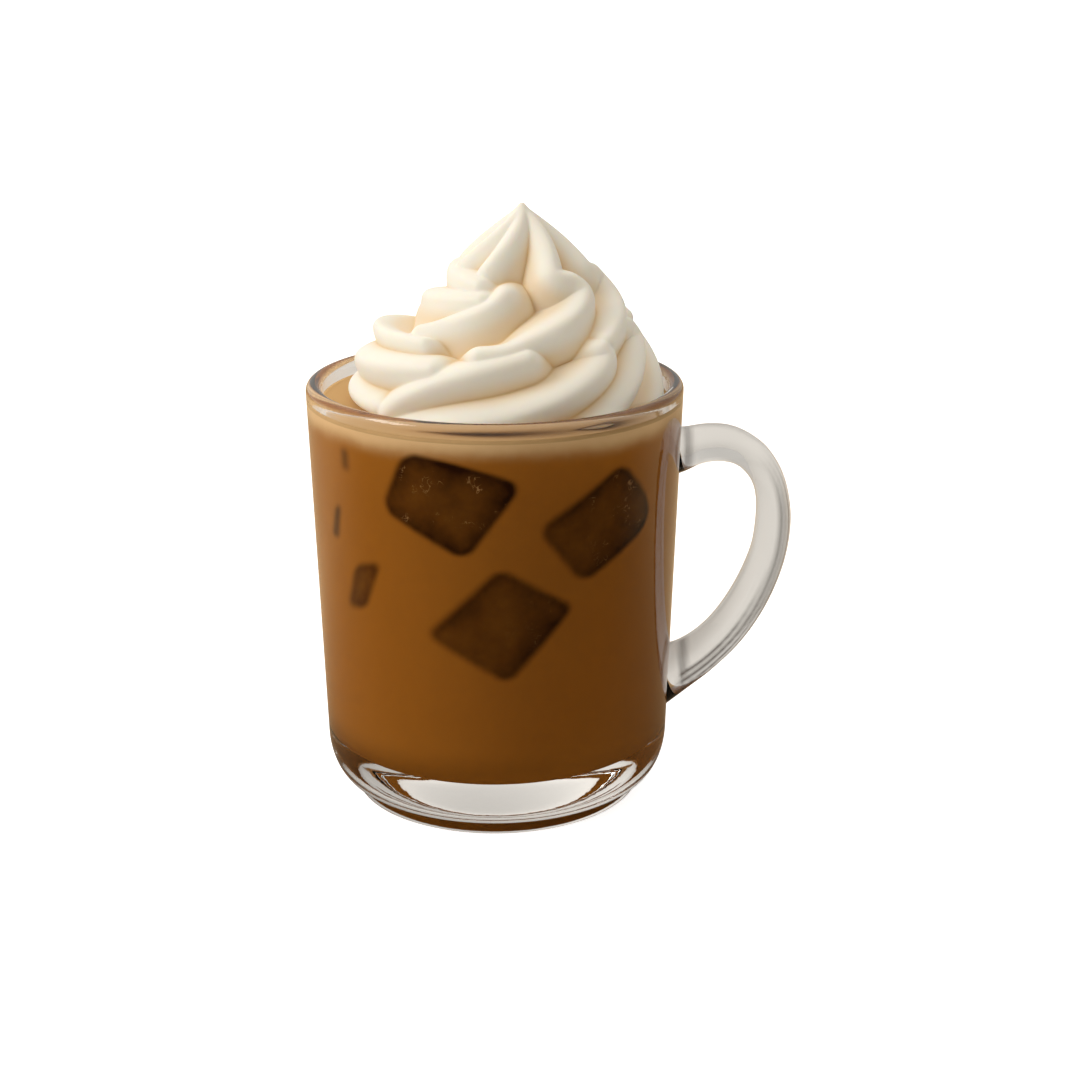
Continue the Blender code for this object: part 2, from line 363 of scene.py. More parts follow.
def colour(red: float, green: float, blue: float) -> tuple[float, float, float, float]:
    """Turn a screen colour of 0 to 255 a channel into a linear one.

    Args:
        red: the screen's red.
        green: the screen's green.
        blue: the screen's blue.

    Returns:
        Linear red, green, blue and full alpha.
    """
    share = np.array([red, green, blue]) / 255.0
    linear = np.where(share <= 0.04045, share / 12.92, ((share + 0.055) / 1.055) ** 2.4)
    return (float(linear[0]), float(linear[1]), float(linear[2]), 1.0)


def grey(value: float) -> tuple[float, float, float, float]:
    """Give a linear grey.

    Args:
        value: how light it is, from 0 to 1.

    Returns:
        Linear red, green, blue and full alpha.
    """
    return (value, value, value, 1.0)


def mottle_group() -> bpy.types.NodeTree:
    """Build the soft cloudy unevenness that the coffee, the cream and the glass share.

    Returns:
        A group with inputs Size (per metre) and Contrast, and an output Mask around one half.
    """
    group = bpy.data.node_groups.new("soft_mottle", "ShaderNodeTree")
    size = group.interface.new_socket("Size", in_out="INPUT", socket_type="NodeSocketFloat")
    size.default_value = 100.0
    contrast = group.interface.new_socket("Contrast", in_out="INPUT", socket_type="NodeSocketFloat")
    contrast.default_value = 1.0
    group.interface.new_socket("Mask", in_out="OUTPUT", socket_type="NodeSocketFloat")
    bench = Bench(group)
    given = bench.node("NodeGroupInput")
    inputs = {"Vector": bench.place(), "Scale": given.outputs["Size"], "Detail": 4.0, "Roughness": 0.55}
    noise = bench.node("ShaderNodeTexNoise", inputs).outputs["Fac"]
    centred = bench.math("MULTIPLY", bench.math("SUBTRACT", noise, 0.5), given.outputs["Contrast"])
    bench.node("NodeGroupOutput", {"Mask": bench.math("ADD", centred, 0.5, clamp=True)})
    return group


@dataclass(frozen=True)
class Finish:
    """What every finish has: a name, the shared mottle, and a material made from them."""

    name: str
    group: bpy.types.NodeTree

    def material(self) -> bpy.types.Material:
        """Make the material.

        Returns:
            The material, with every node of the finish in it.
        """
        made = bpy.data.materials.new(self.name)
        made.use_nodes = True
        self.fill(Bench(made.node_tree))
        return made

    def fill(self, bench: Bench) -> None:
        """Add the finish's nodes to a material.

        Args:
            bench: the material's bench.
        """
        raise NotImplementedError

    def mottle(self, bench: Bench, size: float, contrast: float = 1.0) -> bpy.types.NodeSocket:
        """Place the shared mottle group.

        Args:
            bench: the material's bench.
            size: how fine the mottle is, per metre.
            contrast: how strong it is.

        Returns:
            The socket of its mask, around one half.
        """
        inputs = {"Size": size, "Contrast": contrast}
        return bench.node("ShaderNodeGroup", inputs, node_tree=self.group).outputs["Mask"]


@dataclass(frozen=True)
class GlassFinish(Finish):
    """Clear pressed glass with very slight waves. Lamps shine through it, so the drink inside is lit."""

    wave_size: float = 90.0
    wave_strength: float = 0.35
    wave_depth_m: float = 0.00012
    ior: float = 1.5
    clear: tuple = (0.985, 0.99, 0.985, 1.0)
    refracted_drink_brown: tuple = (0.02, 0.009, 0.004, 1.0)
    lamp_share: float = 0.93

    def fill(self, bench: Bench) -> None:
        """Add the finish's nodes: waved glass, with a painted refraction of the brown drink where the
        handle's streak runs.

        Args:
            bench: the material's bench.
        """
        waves = {
            "Strength": self.wave_strength,
            "Distance": self.wave_depth_m,
            "Height": self.mottle(bench, self.wave_size),
        }
        bump = bench.node("ShaderNodeBump", waves)
        inputs = {
            # painted refraction: the drink's brown, as it shows through the bent glass of the handle, is
            # mixed into the glass's colour
            "Base Color": bench.mix(bench.value_of("painted_grip_refraction"), self.clear, self.refracted_drink_brown),
            "Roughness": 0.0,
            "IOR": self.ior,
            "Metallic": 0.0,
            "Transmission Weight": 1.0,
            "Normal": bump.outputs["Normal"],
        }
        glass = bench.node("ShaderNodeBsdfPrincipled", inputs).outputs["BSDF"]
        clear = bench.node("ShaderNodeBsdfTransparent", {"Color": grey(self.lamp_share)}).outputs["BSDF"]
        lamp = bench.node("ShaderNodeLightPath").outputs["Is Shadow Ray"]
        bench.finish(bench.node("ShaderNodeMixShader", {0: lamp, 1: glass, 2: clear}).outputs[0])


@dataclass(frozen=True)
class CoffeeFinish(Finish):
    """Milky coffee: brown, paler near its level, dark where ice lies close behind its skin."""

    level: float
    body: tuple = colour(166, 103, 32)
    ice: tuple = colour(42, 15, 0)
    glint: tuple = colour(196, 150, 98)
    foam: tuple = colour(238, 200, 146)
    top: tuple = colour(200, 162, 112)
    foam_depth: float = 6.0
    foam_share: float = 0.95
    foam_power: float = 1.8
    foam_drift_m: float = 0.003
    full_below: float = 0.3
    top_below: float = 0.1
    cloud_size: float = 60.0
    cloud_contrast: float = 1.2
    smoothest: float = 0.25
    roughest: float = 0.4
    blotch_size: float = 75.0
    blotch_contrast: float = 2.6
    blotch_least: float = 0.62
    blotch_share: float = 0.36
    edge_share: float = 0.34
    crack_size: float = 420.0
    crack_detail: float = 3.0
    crack_bend: float = 1.2
    crack_width: float = 0.022
    crack_share: float = 0.6
    spot_size: float = 210.0
    spot_contrast: float = 2.5
    spot_span: tuple = (0.68, 0.85)
    close_span: tuple = (0.75, 0.95)

    def fill(self, bench: Bench) -> None:
        """Add the finish's nodes: body, foam below the level, upper side, and ice behind the skin.

        Args:
            bench: the material's bench.
        """
        height = bench.node("ShaderNodeSeparateXYZ", {0: bench.place()}).outputs["Z"]
        cloud = self.mottle(bench, self.cloud_size, self.cloud_contrast)
        drift = bench.math("MULTIPLY", bench.math("SUBTRACT", cloud, 0.5), self.foam_drift_m)
        foam_low, foam_full = (self.level - self.foam_depth) * MM, (self.level - self.full_below) * MM
        fade = bench.ramp(bench.math("ADD", height, drift), foam_low, foam_full)
        foam = bench.math("MULTIPLY", bench.math("POWER", fade, self.foam_power), self.foam_share)
        upper_side = bench.ramp(height, foam_full, (self.level - self.top_below) * MM)
        brown = bench.mix(upper_side, bench.mix(foam, self.body, self.foam), self.top)
        skin = bench.mix(self.darkness(bench), brown, self.ice)
        inputs = {
            # painted highlight: light brown glints off fine cracks in the ice, mixed into the drink's colour
            "Base Color": bench.mix(self.crack_glints(bench), skin, self.glint),
            "Roughness": bench.ramp(cloud, *CLOUD_SPAN, self.smoothest, self.roughest),
            "Specular IOR Level": 0.0,
            "Metallic": 0.0,
        }
        bench.finish(bench.node("ShaderNodeBsdfPrincipled", inputs).outputs["BSDF"])

    def darkness(self, bench: Bench) -> bpy.types.NodeSocket:
        """Work out how dark the ice behind the skin is: dark towards its edges, blotchy in its middle.

        Args:
            bench: the material's bench.

        Returns:
            The socket of the darkness, from 0 to 1.
        """
        mottle = self.mottle(bench, self.blotch_size, self.blotch_contrast)
        blotch = bench.math("ADD", self.blotch_least, bench.math("MULTIPLY", mottle, self.blotch_share))
        middle = bench.math("MULTIPLY", bench.value_of("ice_shade"), blotch)
        edge = bench.math("MULTIPLY", bench.value_of("ice_edge"), self.edge_share)
        return bench.math("ADD", middle, edge, clamp=True)

    def crack_glints(self, bench: Bench) -> bpy.types.NodeSocket:
        """Work out the painted highlights: glints of light off fine cracks, which show in a few spots of the
        ice.

        Args:
            bench: the material's bench.

        Returns:
            The socket of the glints' share, from 0 to 1.
        """
        pattern = {"Scale": self.crack_size, "Detail": self.crack_detail, "Distortion": self.crack_bend}
        noise = bench.node("ShaderNodeTexNoise", {"Vector": bench.place(), **pattern}).outputs["Fac"]
        ridge = bench.math("ABSOLUTE", bench.math("SUBTRACT", noise, 0.5))
        line = bench.ramp(ridge, 0.0, self.crack_width, 1.0, 0.0)
        spots = bench.ramp(self.mottle(bench, self.spot_size, self.spot_contrast), *self.spot_span)
        close = bench.ramp(bench.value_of("ice_shade"), *self.close_span)
        close = bench.math("MULTIPLY", close, self.crack_share)
        return bench.math("MULTIPLY", bench.math("MULTIPLY", line, spots), close)


@dataclass(frozen=True)
class CreamFinish(Finish):
    """Soft whipped cream: warm white with a fine grain, and painted shade in the creases: a golden colour
    where shade falls between the ridges.
    """

    white: tuple = colour(251, 245, 233)
    crease_shade: tuple = colour(232, 198, 138)
    crease_shade_share: float = 0.9
    cloud_share: float = 0.1
    cloud_size: float = 70.0
    grain_size: float = 900.0
    grain_strength: float = 0.25
    grain_depth_m: float = 0.0001
    smoothest: float = 0.42
    roughest: float = 0.55
    shine: float = 0.35
    glow_share: float = 0.5
    glow_reach: tuple = (1.0, 0.75, 0.45)
    glow_reach_m: float = 0.0010

    def fill(self, bench: Bench) -> None:
        """Add the finish's nodes: a grained, softly glowing skin, with painted shade, warmer and darker,
        where the ridges meet.

        Args:
            bench: the material's bench.
        """
        grain = {
            "Strength": self.grain_strength,
            "Distance": self.grain_depth_m,
            "Height": self.mottle(bench, self.grain_size),
        }
        cloud = self.mottle(bench, self.cloud_size)
        # painted shade: the golden crease colour is mixed in at the creases and in the hollows between ridges
        crease_shade_amount = bench.math("MULTIPLY", bench.value_of("crease_shade"), self.crease_shade_share)
        warm = bench.math("ADD", crease_shade_amount, bench.math("MULTIPLY", cloud, self.cloud_share), clamp=True)
        inputs = {
            "Base Color": bench.mix(warm, self.white, self.crease_shade),
            "Roughness": bench.ramp(cloud, *CLOUD_SPAN, self.smoothest, self.roughest),
            "Specular IOR Level": self.shine,
            "Subsurface Weight": self.glow_share,
            "Subsurface Radius": self.glow_reach,
            "Subsurface Scale": self.glow_reach_m,
            "Metallic": 0.0,
            "Normal": bench.node("ShaderNodeBump", grain).outputs["Normal"],
        }
        bench.finish(bench.node("ShaderNodeBsdfPrincipled", inputs).outputs["BSDF"])


@dataclass(frozen=True)
class IceFinish(Finish):
    """Clear ice with a cloudy heart."""

    clear: tuple = (0.90, 0.94, 0.96, 1.0)
    cloudy: tuple = (1.0, 1.0, 1.0, 1.0)
    cloud_size: float = 160.0
    cloud_contrast: float = 2.0
    cloud_span: tuple = (0.35, 0.65)
    smoothest: float = 0.05
    roughest: float = 0.35
    ior: float = 1.31

    def fill(self, bench: Bench) -> None:
        """Add the finish's nodes: clear ice, rougher where it is cloudy.

        Args:
            bench: the material's bench.
        """
        cloud = self.mottle(bench, self.cloud_size, self.cloud_contrast)
        inputs = {
            "Base Color": bench.mix(cloud, self.clear, self.cloudy),
            "Roughness": bench.ramp(cloud, *self.cloud_span, self.smoothest, self.roughest),
            "IOR": self.ior,
            "Metallic": 0.0,
            "Transmission Weight": 1.0,
        }
        bench.finish(bench.node("ShaderNodeBsdfPrincipled", inputs).outputs["BSDF"])


@dataclass(frozen=True)
class FloorFinish(Finish):
    """A pale, matt studio floor that glows faintly to the eye, as an evenly lit sheet does.

    In the glass's reflections it shows as a card, dim in front and warm behind, so that the drink keeps its
    colour.
    """

    glow: float = 0.85
    pale: tuple = (0.75, 0.735, 0.715, 1.0)
    palest: tuple = (0.77, 0.755, 0.735, 1.0)
    painted_contact_shadow: tuple = (0.58, 0.57, 0.56, 1.0)
    contact_shadow_reach_m: tuple = (0.02, 0.042)
    card_front: float = 0.03
    card_back: tuple = (0.62, 0.46, 0.28, 1.0)
    card_reach_m: tuple = (-0.08, 0.12)
    cloud_size: float = 8.0
    cloud_contrast: float = 0.4
    roughness: float = 0.7
    shine: float = 0.2

    def fill(self, bench: Bench) -> None:
        """Add the finish's nodes: the sheet with a painted contact shadow under the mug, and the card that
        mirrored rays see.

        Args:
            bench: the material's bench.
        """
        place = bench.place()
        away = bench.node("ShaderNodeVectorMath", {0: place}, operation="LENGTH").outputs["Value"]
        cloud = self.mottle(bench, self.cloud_size, self.cloud_contrast)
        # painted shadow: the sheet is darker within a few centimetres of the mug's axis
        unshadowed_share = bench.ramp(away, *self.contact_shadow_reach_m)
        rays = bench.node("ShaderNodeLightPath").outputs
        inputs = {
            "Base Color": bench.mix(unshadowed_share, self.painted_contact_shadow, bench.mix(cloud, self.pale, self.palest)),
            "Roughness": self.roughness,
            "Specular IOR Level": self.shine,
            "Emission Color": grey(1.0),
            "Emission Strength": bench.math("MULTIPLY", rays["Is Camera Ray"], self.glow),
        }
        sheet = bench.node("ShaderNodeBsdfPrincipled", inputs).outputs["BSDF"]
        back = bench.ramp(bench.node("ShaderNodeSeparateXYZ", {0: place}).outputs["Y"], *self.card_reach_m)
        card_colour = bench.mix(back, grey(self.card_front), self.card_back)
        card = bench.node("ShaderNodeBsdfDiffuse", {"Color": card_colour}).outputs["BSDF"]
        mirrored = bench.math("MULTIPLY", rays["Is Glossy Ray"], rays["Is Reflection Ray"])
        bench.finish(bench.node("ShaderNodeMixShader", {0: mirrored, 1: sheet, 2: card}).outputs[0])


@dataclass(frozen=True)
class MugForm:
    """The mug's driving sizes, read from the CAD node where it has them."""

    rim_radius: float
    height: float
    wall: float = 3.5
    heel_radius: float = 39.53
    heel_height: float = 13.92
    foot_radius: float = 33.77
    foot_height: float = 3.17
    foot_base_radius: float = 33.2
    foot_edge: float = 0.6
    hollow_radius: float = 27.0
    hollow_rise: float = 2.0
    floor_height: float = 12.3
    floor_radius: float = 28.0
    corner_rise: float = 9.2
    inner_foot_radius: float = 36.4

    def inner_corner(self, outset: float, steps: int) -> np.ndarray:
        """Give the rounded corner between inner floor and wall, moved out into the glass.

        Args:
            outset: how far into the glass.
            steps: how many pieces the corner has.

        Returns:
            Rows of radius and height, from the floor up.
        """
        centre = (self.floor_radius, self.floor_height + self.corner_rise)
        radii = (self.inner_foot_radius - self.floor_radius + outset, self.corner_rise + outset)
        return arc(centre, radii, (-90.0, 0.0), steps)

    def inner_radius(self, height: float | np.ndarray) -> float | np.ndarray:
        """Give the straight inner wall's radius.

        Args:
            height: one height or many.

        Returns:
            The radius at each height.
        """
        foot = self.floor_height + self.corner_rise
        share = (height - foot) / (self.height - self.wall / 2.0 - foot)
        return self.inner_foot_radius + share * (self.rim_radius - self.wall - self.inner_foot_radius)


@dataclass(frozen=True)
class PaintedGripRefraction:
    """Painted refraction of the drink in the handle's glass: brown stripes along its outer lower half, and
    painted shade on its edges and at its joints.

    It lies on the near side of the glass, so that it isn't seen twice. Places on the handle are given along
    its middle line, from 0 at the upper joint to 1 at the lower one, and across it, from -1 at the inner edge
    to 1 at the outer one.
    """

    start: float = 0.1
    lean: float = 0.4
    lean_from: float = 0.3
    softness: float = 0.12
    outer_end: tuple = (0.98, 0.8)
    stripe_mean: float = 0.7
    stripe_swing: float = 0.3
    stripe_rate: float = 24.0
    lower_half: tuple = (0.3, 0.5)
    edge_share: float = 0.25
    edge_from: tuple = (0.84, 0.97)
    joint_share: float = 0.75
    joint_reach: tuple = (3.0, 1.2)
    body_blend: float = 0.5
    side_blend: float = 0.3

    def share(
        self, along: np.ndarray, across: np.ndarray, beyond: np.ndarray, side: np.ndarray
    ) -> np.ndarray:
        """Work out how strong the painted refraction and shade are.

        Args:
            along: places along the handle.
            across: places across it.
            beyond: ways out from the rim's radius.
            side: ways to the back.

        Returns:
            0 where the glass is clear, up to 1 in the darkest stripe.
        """
        start = self.start - self.lean * (along - self.lean_from)
        # painted refraction: brown stripes where the drink shows through the handle; painted shade on its
        # edges and joints
        band = smoothstep(start, start + self.softness, across) * smoothstep(*self.outer_end, across)
        stripes = self.stripe_mean + self.stripe_swing * np.cos(across * self.stripe_rate)
        streak = band * stripes * smoothstep(*self.lower_half, along)
        edge = self.edge_share * smoothstep(*self.edge_from, np.abs(across))
        joint = self.joint_share * smoothstep(*self.joint_reach, beyond)
        on_grip = smoothstep(-self.body_blend, self.body_blend, beyond)
        near_side = smoothstep(self.side_blend, -self.side_blend, side)
        return on_grip * near_side * np.maximum(np.maximum(streak, edge), joint)


@dataclass
class GlassMug:
    """The glass mug: a turned body with a lofted handle fused to it."""

    form: MugForm
    painted_refraction: PaintedGripRefraction = PaintedGripRefraction()
    segments: int = 200
    foot_steps: int = 5
    heel_steps: int = 24
    wall_steps: int = 22
    lip_steps: int = 18
    corner_steps: int = 18
    hollow_rows: int = 12
    floor_rings: tuple = (0.75, 0.5, 0.25)
    sharp_angle: float = 38.0
    line_samples: int = 200
    handle_rings: int = 84
    handle_sides: int = 40
    handle_half_width: float = 5.4
    joint_flare: float = 1.3
    flare_reach: float = 0.06
    outer_edge: tuple = (
        (39.4, 84.2), (43.3, 84.7), (47.6, 85.3), (52.6, 85.0), (57.4, 83.0), (61.9, 79.2), (65.4, 73.0),
        (67.1, 65.0), (66.8, 57.0), (65.0, 49.4), (61.6, 41.2), (56.6, 33.4), (50.4, 26.8), (44.4, 21.8),
        (38.2, 16.8),
    )
    inner_edge: tuple = (
        (39.4, 73.4), (42.9, 74.7), (46.6, 76.4), (50.6, 76.9), (54.2, 76.1), (57.0, 73.6), (58.7, 70.0),
        (59.2, 65.0), (58.6, 58.0), (56.9, 52.3), (54.1, 46.2), (50.6, 40.6), (46.8, 36.4), (42.6, 33.5),
        (38.2, 31.8),
    )

    def profile(self) -> np.ndarray:
        """Give the body's profile: hollow, foot, heel, outer wall, lip, inner wall, corner and floor.

        The hollow under the foot is the parabola z = h (1 - (r / R)^2).

        Returns:
            Rows of radius and height.
        """
        form = self.form
        lip = form.wall / 2.0
        base = form.foot_base_radius
        edge = form.foot_edge
        foot = arc((base - edge, edge), (edge, edge), (-90.0, 0.0), self.foot_steps)
        heel = arc(
            (form.foot_radius, form.heel_height),
            (form.heel_radius - form.foot_radius, form.heel_height - form.foot_height),
            (-90.0, 0.0),
            self.heel_steps,
        )
        wall_top = form.height - lip
        climb = np.linspace(0.0, 1.0, self.wall_steps)[1:-1, None]
        wall = heel[-1] + climb * (np.array([form.rim_radius, wall_top]) - heel[-1])
        lip_arc = arc((form.rim_radius - lip, wall_top), (lip, lip), (0.0, 180.0), self.lip_steps)
        corner = form.inner_corner(0.0, self.corner_steps)[::-1]
        inner = lip_arc[-1] + climb * (corner[0] - lip_arc[-1])
        floor = corner[-1] * np.array([[share, 1.0] for share in self.floor_rings])
        share = np.linspace(0.0, 1.0, self.hollow_rows)
        hollow = np.stack([form.hollow_radius * share, form.hollow_rise * (1.0 - share**2)], axis=1)
        end = [[0.0, form.floor_height]]
        return np.vstack([hollow, foot, heel, wall, lip_arc, inner, corner, floor, end])

    def handle(self) -> Surface:
        """Loft the handle: at every station the oval middle + reach cos t, w sin t joins its two edges.

        Returns:
            The closed surface, whose ends lie in the body's wall.
        """
        outer = smooth_path(self.outer_edge, self.handle_rings)
        inner = smooth_path(self.inner_edge, self.handle_rings)
        share = np.linspace(0.0, 1.0, self.handle_rings)
        flare = np.exp(-share / self.flare_reach) + np.exp(-(1.0 - share) / self.flare_reach)
        half_width = self.handle_half_width + self.joint_flare * flare
        angle = -2.0 * np.pi * np.arange(self.handle_sides) / self.handle_sides
        middle, reach = (outer + inner) / 2.0, (outer - inner) / 2.0
        flat = middle[:, None, :] + reach[:, None, :] * np.cos(angle)[None, :, None]
        across = half_width[:, None] * np.sin(angle)[None, :]
        rings = np.stack([flat[..., 0], across, flat[..., 1]], axis=-1)
        first = np.array([middle[0, 0], 0.0, middle[0, 1]])
        last = np.array([middle[-1, 0], 0.0, middle[-1, 1]])
        return closed_grid(rings, first, last)

    def painted_refraction_values(self, points: np.ndarray) -> np.ndarray:
        """Place the mug's points on the handle, and give each one's share of painted refraction.

        Args:
            points: the mug's points.

        Returns:
            The painted refraction's share at each point, from 0 to 1.
        """
        outer, inner = (smooth_path(edge, self.line_samples) for edge in (self.outer_edge, self.inner_edge))
        middle, reach = (outer + inner) / 2.0, (outer - inner) / 2.0
        flat = points[:, [0, 2]]
        nearest = ((flat[:, None, :] - middle[None]) ** 2).sum(axis=2).argmin(axis=1)
        along = nearest / (len(middle) - 1.0)
        across = ((flat - middle[nearest]) * reach[nearest]).sum(axis=1) / (reach[nearest] ** 2).sum(axis=1)
        return self.painted_refraction.share(along, across, points[:, 0] - self.form.rim_radius, points[:, 1])

    def build(self, material: bpy.types.Material) -> bpy.types.Object:
        """Make the mug as one piece of glass.

        Args:
            material: its finish.

        Returns:
            The piece.
        """
        body = bpy.data.objects.new("mug_blank", turned(self.profile(), self.segments).mesh("mug_blank"))
        grip = bpy.data.objects.new("grip_blank", self.handle().mesh("grip_blank"))
        for blank in (body, grip):
            bpy.context.scene.collection.objects.link(blank)
        union = body.modifiers.new("fuse_handle", "BOOLEAN")
        union.operation = "UNION"
        union.solver = "EXACT"
        union.object = grip
        data = bpy.data.meshes.new_from_object(body.evaluated_get(bpy.context.evaluated_depsgraph_get()))
        for blank in (body, grip):
            bpy.data.objects.remove(blank, do_unlink=True)
        data.name = "mug"
        data.shade_smooth()
        data.set_sharp_from_angle(angle=math.radians(self.sharp_angle))
        points = np.empty(3 * len(data.vertices))
        data.vertices.foreach_get("co", points)
        # painted refraction of the drink in the handle, stored for the glass's material to read
        put_values(data, "painted_grip_refraction", self.painted_refraction_values(points.reshape(-1, 3) / MM))
        piece = add_piece("mug", data, material)
        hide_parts(Node.MUG.value)
        return piece


@dataclass(frozen=True)
class IceCube:
    """One ice cube, sunk in the drink close behind the glass and melted to its curve.

    Its outline is given by corners of azimuth and height. It is worked on the unrolled skin, where a point
    lies at (R a, z), with R the drink's radius at the cube's middle and a the azimuth in radians.
    """

    outline: tuple[tuple[float, float], ...]
    film: float
    lean: float = 0.0
    depth: float = 18.0
    rounding: float = 3.2
    blur: float = 0.7
    blur_in_film: float = 0.55
    edge_fade: float = 2.6
    least_film: float = 1.0
    squareness: float = 5.0

    def middle(self) -> np.ndarray:
        """Give the outline's middle.

        Returns:
            Its azimuth and height.
        """
        return np.array(self.outline).mean(axis=0)

    def corners(self, skin: float) -> np.ndarray:
        """Give the outline's corners on the unrolled skin, counted from the middle.

        Args:
            skin: radius of the drink at the cube's height.

        Returns:
            Rows of the way across and the way up.
        """
        away = np.array(self.outline) - self.middle()
        return away * np.array([math.radians(skin), 1.0])

    def place(self, points: np.ndarray, skin: float) -> np.ndarray:
        """Give each point's place on the unrolled skin, counted from the outline's middle.

        Args:
            points: points of the drink's skin.
            skin: radius of the drink at the cube's height.

        Returns:
            Rows of the way across and the way up.
        """
        azimuth, height = self.middle()
        turn = np.arctan2(points[:, 0], -points[:, 1]) - math.radians(azimuth)
        turn = (turn + np.pi) % (2.0 * np.pi) - np.pi
        return np.stack([turn * skin, points[:, 2] - height], axis=1)

    def distance(self, place: np.ndarray, skin: float) -> np.ndarray:
        """Give each place's distance to the rounded outline, negative inside it.

        A convex outline's distance is the greatest of the distances to its sides, pulled in by the rounding
        and let out again, which rounds the corners.

        Args:
            place: rows of the way across and the way up.
            skin: radius of the drink at the cube's height.

        Returns:
            The distances.
        """
        corners = self.corners(skin)
        sides = np.roll(corners, -1, axis=0) - corners
        outward = np.stack([sides[:, 1], -sides[:, 0]], axis=1) / np.linalg.norm(sides, axis=1)[:, None]
        beyond = place @ outward.T - (corners * outward).sum(axis=1) + self.rounding
        outside = np.linalg.norm(np.maximum(beyond, 0.0), axis=1)
        return outside + np.minimum(beyond.max(axis=1), 0.0) - self.rounding

    def shade(self, points: np.ndarray, skin: float, fade: float) -> tuple[np.ndarray, np.ndarray]:
        """Work out how the cube darkens the skin before it.

        The film of milky drink before the cube grows to one side by its lean, and the skin darkens by
        exp(-film / fade). The edge is the softer the thicker the film.

        Args:
            points: points of the drink's skin.
            skin: radius of the drink at the cube's height.
            fade: film that lets a third of the darkness through, in millimetres.

        Returns:
            How dark each point is, and how near the outline it lies, both from 0 to 1.
        """
        place = self.place(points, skin)
        gap = self.distance(place, skin)
        film = np.maximum(self.film - self.lean * place[:, 0], 0.0)
        blur = self.blur + self.blur_in_film * film
        cover = smoothstep(-1.0, 1.0, -gap / blur) * np.exp(-film / fade)
        return cover, cover * np.exp(np.minimum(gap, 0.0) / self.edge_fade)

    def bend(self, across: np.ndarray, up: np.ndarray, deep: np.ndarray, skin: float) -> np.ndarray:
        """Bend places on the unrolled skin back round the drink.

        Args:
            across: ways across from the cube's middle.
            up: ways up from it.
            deep: ways in from the skin.
            skin: radius of the drink at the cube's height.

        Returns:
            The points as x, y, z.
        """
        azimuth, height = self.middle()
        angle, radius = math.radians(azimuth) + across / skin, skin - deep
        return np.stack([radius * np.sin(angle), -radius * np.cos(angle), height + up], axis=-1)

    def surface(self, skin: float, around: int = 32, rows: int = 9) -> Surface:
        """Make the cube: its outline swept inwards, its size following the superellipse |s|^n + |t|^n = 1.

        Args:
            skin: radius of the drink at the cube's height.
            around: points along the outline.
            rows: rings from the inner end to the outer one.

        Returns:
            The closed surface, kept a millimetre behind the drink's skin.
        """
        corners = self.corners(skin)
        chain = smooth_path(np.vstack([corners[-1:], corners, corners[:2]]), around * 4)
        turn = np.unwrap(np.arctan2(chain[:, 1], chain[:, 0]))
        order = np.argsort(turn)
        wanted = turn.min() + 2.0 * np.pi * np.arange(around) / around
        reach = np.interp(wanted, turn[order], np.linalg.norm(chain, axis=1)[order])
        edge = np.stack([reach * np.cos(wanted), reach * np.sin(wanted)], axis=1)
        along = np.sin(np.linspace(-0.5, 0.5, rows + 2)[1:-1] * np.pi)
        size = (1.0 - np.abs(along) ** self.squareness) ** (1.0 / self.squareness)
        flat = size[:, None, None] * edge
        front = max(self.film, self.least_film)
        inset = (1.0 - along) * self.depth / 2.0 + front
        rings = self.bend(flat[..., 0], flat[..., 1], inset[:, None] + np.zeros(flat.shape[:2]), skin)
        ends = self.bend(np.zeros(2), np.zeros(2), np.array([self.depth, 0.0]) + front, skin)
        return closed_grid(rings[:, ::-1], ends[0], ends[1])


